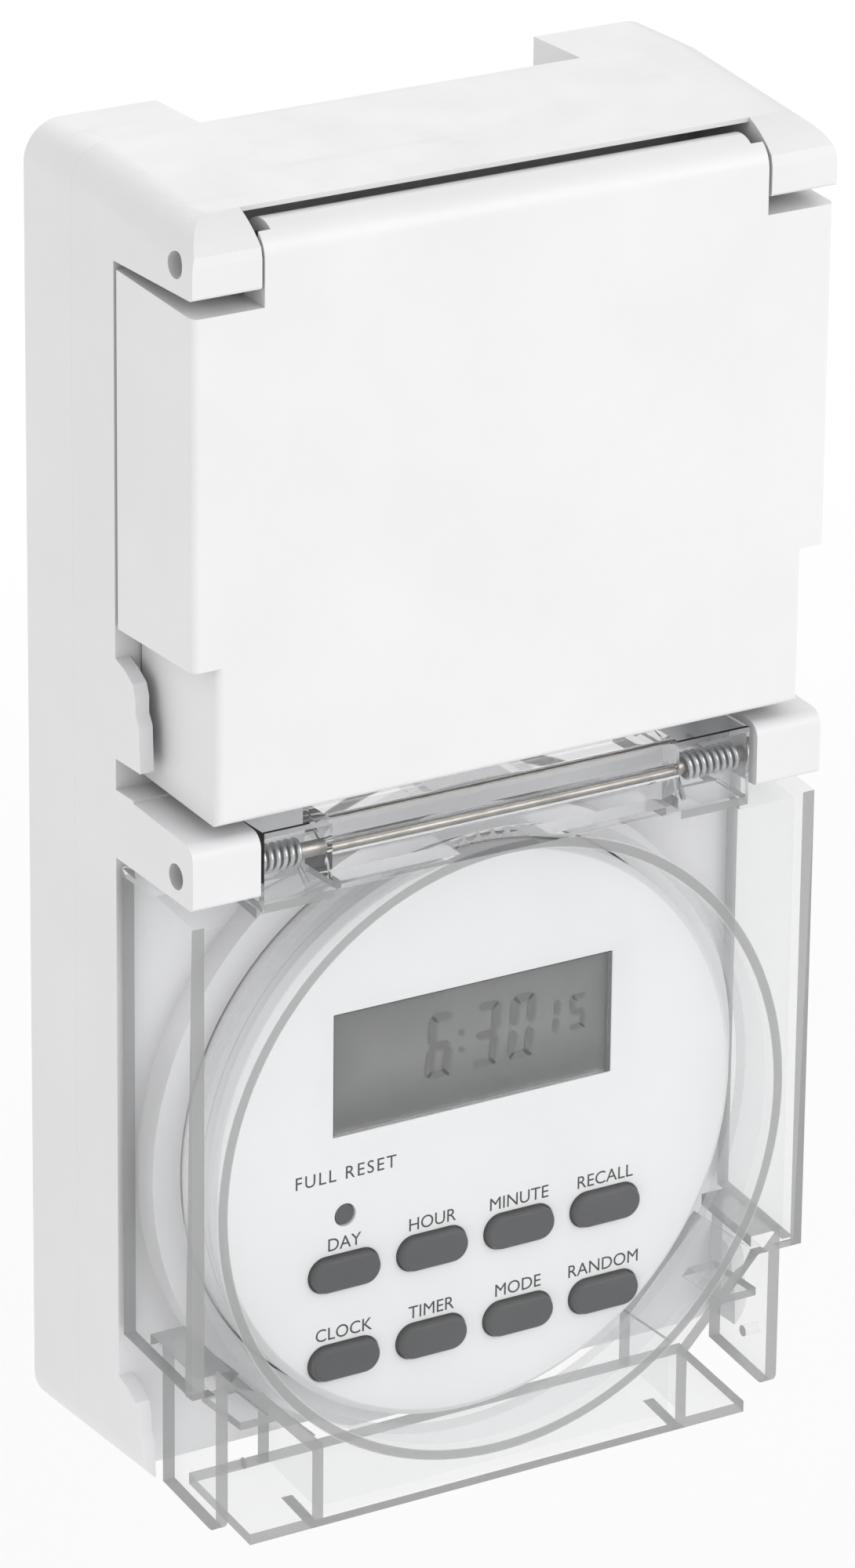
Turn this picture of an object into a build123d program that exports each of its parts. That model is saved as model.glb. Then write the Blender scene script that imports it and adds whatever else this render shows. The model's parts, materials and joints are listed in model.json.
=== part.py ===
from build123d import *
import math
import os

os.makedirs("parts", exist_ok=True)

# X to the right, Y to the back, Z up. While modelling, X = 0 is the middle, Y = 0 the rear plane
# of the two rear legs and Z = 0 the lowest edge of the clear cover. A "front distance" f is
# measured from the rear plane towards the front, so Y = -f. Each finished part is moved by
# to_origin, so that the written files have their origin at the middle of the plug's end face.

# ---------------------------------------------------------------- housing
width = 90.0
half_w = width / 2
top_z = 174.0
top_slope = 0.108
shell_bottom_rear_z = 6.7
shell_bottom_front_z = 4.7
shell_inner_bottom_z = 7.0
f_channel = 10.6
f_part = 11.5
f_base = 21.6
f_front = 40.0
wall = 2.2
join = 0.2
edge_reach = 0.01
corner_r = 5.0
leg_w = 18.2
leg_wall = 2.0
floor_t = 2.2
floor_gap = 0.15
screw_hole_gap = 0.1

# ---------------------------------------------------------------- hinges
axis_f = 36.0
upper_axis_z = 166.3
lower_axis_z = 89.8
pin_r = 1.0
running_gap = 0.05
ear_w = 9.4
ear_inner_x = half_w - ear_w
upper_ear_bottom_z = 162.8
lower_ear_top_z = 94.6
lower_ear_bottom_z = 86.5
ear_bore_r = 1.65
ear_bore_depth = 3.6
lower_ear_top_rise = 1.4
lower_ear_bottom_rise = 0.7
ear_round = 2.0
ear_foot_round = 0.6
hood_front_f = 34.7
hood_front_t = 0.6
hood_t = 2.0
hood_taper = 3.7
rail_f = 25.8
rail_top_z = 96.0
rail_bottom_z = 87.2

# ---------------------------------------------------------------- lugs at the side rims
lug_t = 1.9
lug_offsets = [
    (0.0, 0.0),
    (2.5, -0.9),
    (4.4, -2.1),
    (5.0, -3.6),
    (5.0, -5.8),
    (5.8, -7.1),
    (6.1, -13.0),
    (0.0, -13.0),
]
upper_lug_z = 113.0
lower_lug_z = 17.9

# ---------------------------------------------------------------- socket lid
lid_half_w = 44.9
lid_narrow_half_w = 41.6
lid_front_f = 39.9
lid_rear_f = 22.1
lid_wall = 2.0
lid_top_front_z = 160.6
lid_top_rear_z = 161.8
lid_step_z = 116.8
lid_bottom_front_z = 96.5
lid_bottom_rear_z = 97.6
barrel_r = 3.9
barrel_half_len = 35.2
barrel_neck_back_f = 33.4
pocket_len = 8.6
seal_w = 1.6
seal_t = 1.6
seal_gap = 0.2

# ---------------------------------------------------------------- clear cover
cover_half_w = 44.8
cover_front_f = 39.4
cover_rear_f = 22.6
plate_t = 1.8
side_t = 1.7
cover_top_front_z = 84.0
cover_top_rear_z = 86.2
cover_step_z = 21.8
cover_bottom_t = 1.5
cover_bottom_front_z = 0.0
cover_bottom_rear_z = 2.0
cover_block_half_len = 34.8
cover_block_top_z = 94.4
cover_block_bottom_z = 85.6
cover_block_back_f = 31.8
cover_pocket_len = 11.4
notch_top_x = 38.3
notch_bottom_x = 27.7
notch_bend_z = 10.6
notch_wall_t = 1.6
notch_wall_back_f = 26.2
side_plate_outer_x = 41.5
side_plate_bottom_z = 2.6
bottom_plate_half_w = 36.6
ring_r = 41.2
ring_t = 1.4
ring_back_f = 31.0
nub_r = 0.75
nub_end_x = 36.9
nub_z = 10.9
nub_f = 38.3
stub_outer_x = 38.0
stub_inner_x = 33.0
stub_t = 1.1
stub_top_z = 17.2
stub_back_f = 30.0

# ---------------------------------------------------------------- timer module
module_z = 44.9
module_r = 38.2
module_hole_r = 38.5
collar_r = 42.4
f_collar = 25.6
f_case_back = 14.6
case_floor_t = 1.6
case_wall = 1.0
f_case_front = 30.2
f_face = 32.6
face_bevel_w = 1.0
face_bevel_d = 0.9
flange_r = 40.6
flange_f0 = 16.0
flange_f1 = 18.2
lcd_z = 56.5
lcd_w = 40.5
lcd_h = 16.4
bevel_w = 46.6
bevel_h = 21.7
f_glass = 31.7
window_t = 1.2
window_gap = 0.05
panel_margin = 1.2
panel_t = 1.6

key_pitch_x = 12.78
key_pitch_z = 12.08
key_rows_z = 24.43
key_hole_w = 10.3
key_hole_h = 4.9
key_gap = 0.25
key_top_f = 33.65
key_flange_w = 10.7
key_flange_h = 5.3
key_flange_f0 = 29.1
key_flange_f1 = 30.1
key_pill_r = 1.6
key_pill_f = 28.0
key_round = 0.5
reset_x = -19.0
reset_z = 38.0
reset_hole_r = 1.5
reset_r = 1.3
reset_top_f = 32.3
reset_flange_r = 2.3
mat_f0 = 26.0
mat_f1 = 27.0
mat_half_w = 26.0
mat_z0 = 13.5
mat_z1 = 41.5
mat_r = 35.2
board_r = 35.6
board_f0 = 24.4
board_f1 = 26.0

# ---------------------------------------------------------------- socket and plug
socket_z = 127.0
socket_front_f = 36.5
recess_r = 19.75
recess_depth = 17.5
insert_r = 22.6
insert_hole_r = 22.8
insert_flange_r = 25.4
insert_floor_t = 1.8
pin_pitch = 19.0
pin_hole_r = 2.7
contact_r = 3.2
contact_bore_r = 2.45
contact_end_f = 0.5
plug_pin_r = 2.4
plug_pin_len = 19.0
spigot_r = 19.3
spigot_hole_r = 19.5
spigot_flange_r = 21.5
spigot_flange_t = 1.9
spigot_face_y = 6.0
spigot_wall = 2.2
spigot_face_t = 2.2
flat_x = 17.6
earth_slot_w = 6.4
earth_w = 5.4
earth_t = 0.8
earth_arm_z = 18.2
to_origin = Location((0, -spigot_face_y, -socket_z))


def block(x0, x1, f0, f1, z0, z1, mode=Mode.ADD):
    """Box between two X, two front distances and two heights."""
    with Locations(((x0 + x1) / 2, -(f0 + f1) / 2, (z0 + z1) / 2)):
        Box(x1 - x0, abs(f1 - f0), z1 - z0, mode=mode)


def disc(x, z, radius, f0, f1, mode=Mode.ADD):
    """Round bar along Y."""
    with Locations((x, -(f0 + f1) / 2, z)):
        Cylinder(radius, abs(f1 - f0), rotation=(90, 0, 0), mode=mode)


def rod(x0, x1, f, z, radius, mode=Mode.ADD):
    """Round bar along X."""
    with Locations(((x0 + x1) / 2, -f, z)):
        Cylinder(radius, x1 - x0, rotation=(0, 90, 0), mode=mode)


def plate(outline, f0, f1, mode=Mode.ADD):
    """Flat plate from an outline in X and Z, between two front distances."""
    with BuildSketch(Plane.XZ.offset(f0)) as flat:
        with BuildLine():
            Polyline(outline, close=True)
        make_face()
    extrude(flat.sketch, amount=f1 - f0, mode=mode)


def prism(profile, x0, x1, mode=Mode.ADD, rounded=None, radius=1.0):
    """Bar along X from a profile given as front distance and height, one corner rounded."""
    with BuildSketch(Plane.YZ.offset(x0)) as flat:
        with BuildLine():
            Polyline([(-f, z) for f, z in profile], close=True)
        make_face()
        if rounded is not None:
            corner = Vector(-profile[rounded][0], profile[rounded][1])
            nearest = flat.vertices().sort_by_distance(corner)[0]
            fillet(nearest, radius)
    extrude(flat.sketch, amount=x1 - x0, mode=mode)


def stadium(x, z, w, h, f0, f1, mode=Mode.ADD):
    """Bar along Y with a stadium outline."""
    with BuildSketch(Plane.XZ.offset(f0)) as flat:
        with Locations((x, z)):
            SlotOverall(w, h)
    extrude(flat.sketch, amount=f1 - f0, mode=mode)


def rounded_box(half_width, z0, z1, radius, f0, f1, mode=Mode.ADD):
    """Box along Y with rounded corners in the front view."""
    with BuildSketch(Plane.XZ.offset(f0)) as flat:
        with Locations((0, (z0 + z1) / 2)):
            RectangleRounded(2 * half_width, z1 - z0, radius)
    extrude(flat.sketch, amount=f1 - f0, mode=mode)


def save(part, name):
    """Move the part to the origin, name it and write it."""
    placed = part.moved(to_origin)
    placed.label = name
    export_step(placed, "parts/" + name + ".step")


def span(a, b):
    """Two numbers in rising order."""
    return (min(a, b), max(a, b))


# ---------------------------------------------------------------- case screws
screw_x = 41.3
screw_zs = [165.3, 92.0, 13.0]
screw_head_r = 2.9
screw_head_h = 1.7
screw_r = 1.4
screw_tip_f = 17.0
boss_r = 3.3
recess_tool_r = 1.5
recess_tool_d = 1.0

screw_spots = [(side * screw_x, z) for side in (-1, 1) for z in screw_zs]

# ---------------------------------------------------------------- back shell
channel_half_w = half_w - leg_w
with BuildPart() as back_shell:
    rounded_box(half_w, shell_bottom_front_z, top_z, corner_r, 0, f_part)
    rounded_box(
        half_w - leg_wall,
        shell_bottom_front_z + 2 * leg_wall,
        top_z - leg_wall,
        corner_r - leg_wall,
        leg_wall,
        f_part,
        mode=Mode.SUBTRACT,
    )
    block(
        -channel_half_w - leg_wall,
        channel_half_w + leg_wall,
        0,
        f_part,
        shell_bottom_front_z,
        top_z,
    )
    block(
        -channel_half_w,
        channel_half_w,
        0,
        f_channel,
        shell_bottom_front_z - 1,
        top_z + 1,
        mode=Mode.SUBTRACT,
    )
    block(
        -channel_half_w - leg_wall,
        channel_half_w + leg_wall,
        f_channel,
        f_channel + floor_t,
        shell_bottom_front_z + 2 * wall,
        top_z - wall - floor_gap,
    )
    for x, z in screw_spots:
        disc(x, z, boss_r, 0, f_part)
    rounded_box(half_w, shell_bottom_front_z, top_z, corner_r, 0, f_base, mode=Mode.INTERSECT)
    disc(0, socket_z, spigot_hole_r, 0, f_channel + floor_t, mode=Mode.SUBTRACT)
    for x, z in screw_spots:
        disc(x, z, screw_r + screw_hole_gap, -1, f_part + 1, mode=Mode.SUBTRACT)
    prism(
        [
            (-1, 0),
            (f_base, 0),
            (f_base, shell_bottom_front_z),
            (0, shell_bottom_rear_z),
            (-1, shell_bottom_rear_z),
        ],
        -half_w - 1,
        half_w + 1,
        mode=Mode.SUBTRACT,
    )
save(back_shell.part, "back_shell")

# ---------------------------------------------------------------- front shell
ear_curve = [(hood_front_f, 171.5), (37.4, 170.0), (39.7, 168.0)]
ear_brow_z = 166.6
lower_ear_round = 2.6
ear_back_f = f_base - 0.5
seal_groove_in = 0.6
seal_groove_w = 0.9
seal_groove_d = 0.8
rail_core_half_w = 30.0
rail_skin = 2.0
pilot_end_f = screw_tip_f + 0.2
boss_end_f = f_base - wall + join


def top_at(f):
    """Height of the front shell's top, which falls towards the front."""
    return top_z - top_slope * (f - f_part)


def upper_ear(side):
    """Upper hinge ear, its top curving over to its front."""
    with BuildSketch(Plane.YZ.offset(min(side * ear_inner_x, side * half_w))) as flat:
        with BuildLine():
            ThreePointArc(*[(-f, z) for f, z in ear_curve])
            Polyline(
                (-ear_curve[2][0], ear_curve[2][1]),
                (-f_front, ear_brow_z),
                (-f_front, upper_ear_bottom_z),
                (-ear_back_f, upper_ear_bottom_z),
                (-ear_back_f, top_at(ear_back_f)),
                (-ear_curve[0][0], ear_curve[0][1]),
            )
        make_face()
    extrude(flat.sketch, amount=ear_w)


with BuildPart() as front_shell:
    rounded_box(half_w, shell_bottom_front_z, top_z, corner_r, f_part, f_base)
    rounded_box(
        half_w - wall,
        shell_inner_bottom_z,
        top_z - wall,
        corner_r - wall,
        f_part,
        f_base - wall,
        mode=Mode.SUBTRACT,
    )
    for side in (-1, 1):
        upper_ear(side)
    prism(
        [
            (ear_back_f, top_at(ear_back_f)),
            (hood_front_f, ear_curve[0][1]),
            (hood_front_f, ear_curve[0][1] - hood_front_t),
            (hood_front_f - hood_taper, top_at(hood_front_f - hood_taper) - hood_t),
            (ear_back_f, top_at(ear_back_f) - hood_t),
        ],
        -ear_inner_x - join,
        ear_inner_x + join,
    )
    for side in (-1, 1):
        prism(
            [
                (ear_back_f, lower_ear_top_z + lower_ear_top_rise),
                (f_front, lower_ear_top_z),
                (f_front, lower_ear_bottom_z),
                (ear_back_f, lower_ear_bottom_z + lower_ear_bottom_rise),
            ],
            *span(side * ear_inner_x, side * half_w),
            rounded=1,
            radius=ear_round,
        )
    feet = front_shell.edges().filter_by_position(
        Axis.Y, -f_front - edge_reach, -f_front + edge_reach
    )
    feet = feet.filter_by(Axis.X)
    fillet(
        feet.filter_by_position(
            Axis.Z, upper_ear_bottom_z - edge_reach, upper_ear_bottom_z + edge_reach
        )
        + feet.filter_by_position(
            Axis.Z, lower_ear_bottom_z - edge_reach, lower_ear_bottom_z + edge_reach
        ),
        ear_foot_round,
    )
    block(-half_w, half_w, f_base, rail_f, rail_bottom_z, rail_top_z)
    block(
        -rail_core_half_w,
        rail_core_half_w,
        f_base - wall,
        rail_f - rail_skin,
        rail_bottom_z + rail_skin,
        rail_top_z - rail_skin,
        mode=Mode.SUBTRACT,
    )
    disc(0, module_z, collar_r, f_base - wall, f_collar)
    disc(0, module_z, module_hole_r, f_base - wall, f_collar, mode=Mode.SUBTRACT)
    disc(0, socket_z, insert_hole_r, f_base - wall, f_base, mode=Mode.SUBTRACT)
    for side in (-1, 1):
        for start_z in (upper_lug_z, lower_lug_z):
            prism(
                [(f_base - join + df, start_z + dz) for df, dz in lug_offsets],
                *span(side * (half_w - lug_t), side * half_w),
            )
    for x, z in screw_spots:
        disc(x, z, boss_r, f_part, boss_end_f)
    rounded_box(half_w, shell_bottom_front_z, top_z, corner_r, f_part, f_front, mode=Mode.INTERSECT)
    with BuildSketch(Plane.XZ.offset(f_part)) as outline:
        with Locations((0, (shell_bottom_front_z + top_z) / 2)):
            RectangleRounded(2 * half_w, top_z - shell_bottom_front_z, corner_r)
    extrude(
        outline.sketch,
        amount=f_front - f_part + 1,
        dir=(0, -1, -top_slope),
        mode=Mode.INTERSECT,
    )
    for x, z in screw_spots:
        disc(x, z, screw_r, f_part, pilot_end_f, mode=Mode.SUBTRACT)
    for z in (upper_axis_z, lower_axis_z):
        rod(-half_w - 1, half_w + 1, axis_f, z, pin_r, mode=Mode.SUBTRACT)
        rod(half_w - ear_bore_depth, half_w + 1, axis_f, z, ear_bore_r, mode=Mode.SUBTRACT)
        rod(-half_w - 1, -half_w + ear_bore_depth, axis_f, z, ear_bore_r, mode=Mode.SUBTRACT)
    with BuildSketch(Plane.XZ.offset(f_part)) as groove:
        with Locations((0, (top_z + shell_bottom_rear_z) / 2)):
            RectangleRounded(
                2 * (half_w - seal_groove_in),
                top_z - shell_bottom_rear_z - 2 * seal_groove_in,
                corner_r - seal_groove_in,
            )
            RectangleRounded(
                2 * (half_w - seal_groove_in - seal_groove_w),
                top_z - shell_bottom_rear_z - 2 * (seal_groove_in + seal_groove_w),
                corner_r - seal_groove_in - seal_groove_w,
                mode=Mode.SUBTRACT,
            )
    extrude(groove.sketch, amount=seal_groove_d, mode=Mode.SUBTRACT)
    prism(
        [
            (-1, 0),
            (f_base, 0),
            (f_base, shell_bottom_front_z),
            (0, shell_bottom_rear_z),
            (-1, shell_bottom_rear_z),
        ],
        -half_w - 1,
        half_w + 1,
        mode=Mode.SUBTRACT,
    )
save(front_shell.part, "front_shell")

with BuildPart() as shell_seal:
    with BuildSketch(Plane.XZ.offset(f_part)) as seal_ring:
        with Locations((0, (top_z + shell_bottom_rear_z) / 2)):
            RectangleRounded(
                2 * (half_w - seal_groove_in),
                top_z - shell_bottom_rear_z - 2 * seal_groove_in,
                corner_r - seal_groove_in,
            )
            RectangleRounded(
                2 * (half_w - seal_groove_in - seal_groove_w),
                top_z - shell_bottom_rear_z - 2 * (seal_groove_in + seal_groove_w),
                corner_r - seal_groove_in - seal_groove_w,
                mode=Mode.SUBTRACT,
            )
    extrude(amount=seal_groove_d)
save(shell_seal.part, "shell_seal")

# ---------------------------------------------------------------- case screws
with BuildPart() as case_screws:
    for x, z in screw_spots:
        disc(x, z, screw_r, 0, screw_tip_f)
        disc(x, z, screw_head_r, -screw_head_h, 0)
    fillet(case_screws.edges().group_by(Axis.Y)[-1], screw_head_h / 2)
    for x, z in screw_spots:
        block(
            x - recess_tool_r,
            x + recess_tool_r,
            -screw_head_h,
            -screw_head_h + recess_tool_d,
            z - recess_tool_d / 4,
            z + recess_tool_d / 4,
            mode=Mode.SUBTRACT,
        )
        block(
            x - recess_tool_d / 4,
            x + recess_tool_d / 4,
            -screw_head_h,
            -screw_head_h + recess_tool_d,
            z - recess_tool_r,
            z + recess_tool_r,
            mode=Mode.SUBTRACT,
        )
save(case_screws.part, "case_screws")

# ---------------------------------------------------------------- socket lid
lid_edge_r = 1.0
pocket_r = 2.3
leg_slot_w = 1.7
pocket_front_f = 38.3
pocket_back_f = 31.0
pocket_low_z = 160.9
pocket_mid_f = 35.2
pocket_mid_z = 163.8
with BuildPart() as socket_lid:
    prism(
        [
            (lid_rear_f, lid_top_rear_z),
            (lid_front_f, lid_top_front_z),
            (lid_front_f, lid_step_z),
            (lid_rear_f, lid_step_z),
        ],
        -lid_half_w,
        lid_half_w,
    )
    prism(
        [
            (lid_rear_f, lid_step_z + lid_wall),
            (lid_front_f, lid_step_z + lid_wall),
            (lid_front_f, lid_bottom_front_z),
            (lid_rear_f, lid_bottom_rear_z),
        ],
        -lid_narrow_half_w,
        lid_narrow_half_w,
    )
    front_edges = socket_lid.edges().filter_by_position(
        Axis.Y, -lid_front_f - edge_reach, -lid_front_f + edge_reach
    )
    side_front_edges = front_edges.filter_by(Axis.Z)
    bottom_front_edges = front_edges.filter_by(Axis.X).group_by(Axis.Z)[0]
    fillet(side_front_edges + bottom_front_edges, lid_edge_r)
    prism(
        [
            (lid_rear_f, lid_top_rear_z - lid_wall),
            (lid_front_f - wall, lid_top_front_z - lid_wall),
            (lid_front_f - wall, lid_step_z + lid_wall),
            (lid_rear_f, lid_step_z + lid_wall),
        ],
        -lid_half_w + lid_wall,
        lid_half_w - lid_wall,
        mode=Mode.SUBTRACT,
    )
    prism(
        [
            (lid_rear_f, lid_step_z + 2 * lid_wall),
            (lid_front_f - wall, lid_step_z + 2 * lid_wall),
            (lid_front_f - wall, lid_bottom_front_z + lid_wall),
            (lid_rear_f, lid_bottom_rear_z + lid_wall),
        ],
        -lid_narrow_half_w + lid_wall,
        lid_narrow_half_w - lid_wall,
        mode=Mode.SUBTRACT,
    )
    rod(-barrel_half_len, barrel_half_len, axis_f, upper_axis_z, barrel_r)
    block(
        -barrel_half_len,
        barrel_half_len,
        barrel_neck_back_f,
        lid_front_f,
        lid_top_front_z - lid_wall,
        upper_axis_z,
    )
    for side in (-1, 1):
        pocket_xs = span(side * (barrel_half_len - pocket_len), side * (barrel_half_len + 1))
        rod(*pocket_xs, axis_f, upper_axis_z, pocket_r, mode=Mode.SUBTRACT)
        block(
            *span(side * (barrel_half_len - leg_slot_w), side * (barrel_half_len + 1)),
            pocket_back_f,
            pocket_front_f,
            pocket_mid_z,
            upper_axis_z + barrel_r + 1,
            mode=Mode.SUBTRACT,
        )
        block(
            *pocket_xs,
            pocket_back_f,
            pocket_mid_f,
            pocket_low_z,
            pocket_mid_z + 1,
            mode=Mode.SUBTRACT,
        )
    rod(
        -half_w,
        half_w,
        axis_f,
        upper_axis_z,
        pin_r + running_gap,
        mode=Mode.SUBTRACT,
    )
save(socket_lid.part, "socket_lid")

seal_outer = [
    (lid_half_w - lid_wall, lid_top_front_z - lid_wall),
    (lid_half_w - lid_wall, lid_step_z + lid_wall),
    (lid_narrow_half_w - lid_wall, lid_step_z + lid_wall),
    (lid_narrow_half_w - lid_wall, lid_bottom_rear_z + lid_wall),
]
seal_inner = [
    (seal_outer[0][0] - seal_w, seal_outer[0][1] - seal_w),
    (seal_outer[1][0] - seal_w, seal_outer[1][1] + seal_w),
    (seal_outer[2][0] - seal_w, seal_outer[2][1] + seal_w),
    (seal_outer[3][0] - seal_w, seal_outer[3][1] + seal_w),
]
with BuildPart() as lid_seal:
    seal_f0 = f_base + seal_gap
    seal_f1 = seal_f0 + seal_t
    plate(seal_outer + [(-x, z) for x, z in reversed(seal_outer)], seal_f0, seal_f1)
    plate(
        seal_inner + [(-x, z) for x, z in reversed(seal_inner)],
        seal_f0,
        seal_f1,
        mode=Mode.SUBTRACT,
    )
save(lid_seal.part, "lid_seal")

pin_half_len = half_w - ear_bore_depth
for name, z in (("lid_hinge_pin", upper_axis_z), ("cover_hinge_pin", lower_axis_z)):
    with BuildPart() as hinge_pin:
        rod(-pin_half_len, pin_half_len, axis_f, z, pin_r)
    save(hinge_pin.part, name)

# ---------------------------------------------------------------- clear cover
cover_pocket_front_f = 38.2
cover_pocket_low_z = 85.2
cover_pocket_floor_z = 84.1
cover_pocket_high_z = 93.4
cover_pocket_wall = 1.5
shelf_rise = 2.1
notch_shelf_rise = 1.68
side_plate_round = 1.5
notch_slope_x = 0.726
notch_slope_z = 0.687
side_plate_back_f = 26.4
side_plate_rise = 1.9
bottom_plate_back_f = 24.4
ring_inner_r = ring_r - ring_t
cover_inner_f = cover_front_f - plate_t
wall_shift_x = notch_wall_t * notch_slope_x
wall_shift_z = notch_wall_t * notch_slope_z
cover_half_outline = [
    (cover_block_half_len, cover_block_top_z),
    (cover_block_half_len, cover_top_front_z),
    (cover_half_w, cover_top_front_z),
    (cover_half_w, cover_step_z),
    (notch_top_x, cover_step_z),
    (notch_bottom_x, notch_bend_z),
    (notch_bottom_x, cover_bottom_front_z),
]

with BuildPart() as clear_cover:
    plate(
        cover_half_outline + [(-x, z) for x, z in reversed(cover_half_outline)],
        cover_inner_f,
        cover_front_f,
    )
    block(
        -cover_block_half_len,
        cover_block_half_len,
        cover_block_back_f,
        cover_front_f,
        cover_block_bottom_z,
        cover_block_top_z,
    )
    disc(0, module_z, ring_r, ring_back_f, cover_inner_f)
    disc(0, module_z, ring_inner_r, ring_back_f, cover_inner_f, mode=Mode.SUBTRACT)
    for side in (-1, 1):
        block(
            *span(side * (cover_block_half_len - cover_pocket_len), side * cover_block_half_len),
            cover_block_back_f,
            cover_front_f,
            cover_pocket_floor_z,
            cover_block_top_z,
        )
        block(
            *span(
                side * (cover_block_half_len - cover_pocket_len + cover_pocket_wall),
                side * (cover_block_half_len + 1),
            ),
            cover_block_back_f - 1,
            cover_pocket_front_f,
            cover_pocket_low_z,
            cover_pocket_high_z,
            mode=Mode.SUBTRACT,
        )
        prism(
            [
                (cover_front_f, cover_top_front_z),
                (cover_front_f, cover_top_front_z - cover_bottom_t),
                (cover_rear_f, cover_top_rear_z - cover_bottom_t),
                (cover_rear_f, cover_top_rear_z),
            ],
            *span(side * cover_block_half_len, side * cover_half_w),
        )
        prism(
            [
                (cover_front_f, cover_top_front_z),
                (cover_front_f, cover_step_z),
                (cover_rear_f, cover_step_z + shelf_rise),
                (cover_rear_f, cover_top_rear_z),
            ],
            *span(side * (cover_half_w - side_t), side * cover_half_w),
        )
        prism(
            [
                (cover_front_f, cover_step_z),
                (cover_front_f, cover_step_z + cover_bottom_t),
                (notch_wall_back_f, cover_step_z + notch_shelf_rise + cover_bottom_t),
                (notch_wall_back_f, cover_step_z + notch_shelf_rise),
            ],
            *span(side * notch_top_x, side * cover_half_w),
        )
        plate(
            [
                (side * notch_top_x, cover_step_z),
                (side * notch_bottom_x, notch_bend_z),
                (side * (notch_bottom_x - wall_shift_x), notch_bend_z + wall_shift_z),
                (side * (notch_top_x - wall_shift_x), cover_step_z + wall_shift_z),
            ],
            notch_wall_back_f,
            cover_inner_f,
        )
        prism(
            [
                (cover_inner_f, notch_bend_z + wall_shift_z),
                (cover_inner_f, cover_bottom_front_z),
                (notch_wall_back_f, cover_bottom_rear_z),
                (notch_wall_back_f, notch_bend_z + wall_shift_z),
            ],
            *span(side * (notch_bottom_x - notch_wall_t), side * notch_bottom_x),
        )
        prism(
            [
                (cover_front_f, cover_step_z + cover_bottom_t),
                (cover_front_f, side_plate_bottom_z),
                (side_plate_back_f, side_plate_bottom_z + side_plate_rise),
                (side_plate_back_f, cover_step_z + notch_shelf_rise + cover_bottom_t / 2),
            ],
            *span(side * (side_plate_outer_x - side_t), side * side_plate_outer_x),
            rounded=1,
            radius=side_plate_round,
        )
        rod(
            *span(side * nub_end_x, side * (side_plate_outer_x - side_t / 2)),
            nub_f,
            nub_z,
            nub_r,
        )
        block(
            *span(side * stub_inner_x, side * stub_outer_x),
            stub_back_f,
            cover_front_f,
            stub_top_z - stub_t,
            stub_top_z,
        )
    prism(
        [
            (cover_front_f, cover_bottom_front_z),
            (cover_front_f, cover_bottom_front_z + cover_bottom_t),
            (bottom_plate_back_f, cover_bottom_rear_z + cover_bottom_t),
            (bottom_plate_back_f, cover_bottom_rear_z),
        ],
        -bottom_plate_half_w,
        bottom_plate_half_w,
    )
    rod(
        -half_w,
        half_w,
        axis_f,
        lower_axis_z,
        pin_r + running_gap,
        mode=Mode.SUBTRACT,
    )
save(clear_cover.part, "clear_cover")

# ---------------------------------------------------------------- hinge springs
wire_r = 0.35
coil_r = 1.5
coil_start_x = -34.2
coil_pitch = 0.98
lid_turns = 5.75
lid_legs = (12.8, 4.4)
cover_left_turns = 5.875
cover_right_turns = 7.875
cover_legs = (9.4, 3.8)


def torsion_spring(name, turns, axis_z, legs, mirrored):
    """Wire coil round a hinge pin, its first leg to the back and its second on the lid or cover."""
    with BuildPart() as spring:
        with BuildLine():
            coil = Helix(
                pitch=coil_pitch,
                height=turns * coil_pitch,
                radius=coil_r,
                center=(coil_start_x, -axis_f, axis_z),
                direction=(1, 0, 0),
                lefthand=True,
            )
        with BuildSketch(Plane(origin=coil @ 0, z_dir=coil % 0)):
            Circle(wire_r)
        sweep(is_frenet=True)
        for at, along, length in (
            (coil @ 0, Vector(0, -1, 0), legs[0]),
            (coil @ 1, coil % 1, legs[1]),
        ):
            with BuildSketch(Plane(origin=at, z_dir=along)) as leg:
                Circle(wire_r)
            extrude(leg.sketch, amount=length)
            with Locations(at):
                Sphere(wire_r)
    turned = spring.part.rotate(Axis((0, -axis_f, axis_z), (1, 0, 0)), 180)
    if mirrored:
        turned = turned.mirror(Plane.YZ)
    save(turned, name)


torsion_spring("lid_spring_left", lid_turns, upper_axis_z, lid_legs, False)
torsion_spring("lid_spring_right", lid_turns, upper_axis_z, lid_legs, True)
torsion_spring("cover_spring_left", cover_left_turns, lower_axis_z, cover_legs, False)
torsion_spring("cover_spring_right", cover_right_turns, lower_axis_z, cover_legs, True)

# ---------------------------------------------------------------- socket
recess_floor_f = socket_front_f - recess_depth
insert_back_f = recess_floor_f - insert_floor_t
insert_edge_r = 0.8
earth_plate_f0 = 16.2
earth_arm_front_f = 33.0
contact_slot_w = 0.8
half_pitch = pin_pitch / 2
with BuildPart() as socket_insert:
    disc(0, socket_z, insert_r, insert_back_f, socket_front_f)
    fillet(
        socket_insert.edges().group_by(Axis.Y)[0],
        insert_edge_r,
    )
    disc(0, socket_z, insert_flange_r, insert_back_f, f_base - wall)
    disc(0, socket_z, recess_r, recess_floor_f, socket_front_f, mode=Mode.SUBTRACT)
    for side in (-1, 1):
        disc(
            side * half_pitch,
            socket_z,
            pin_hole_r,
            insert_back_f,
            recess_floor_f,
            mode=Mode.SUBTRACT,
        )
        earth_mid_z = socket_z + side * (earth_arm_z + earth_t / 2)
        block(
            -earth_slot_w / 2,
            earth_slot_w / 2,
            insert_back_f,
            recess_floor_f,
            earth_mid_z - earth_t,
            earth_mid_z + earth_t,
            mode=Mode.SUBTRACT,
        )
save(socket_insert.part, "socket_insert")

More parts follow.
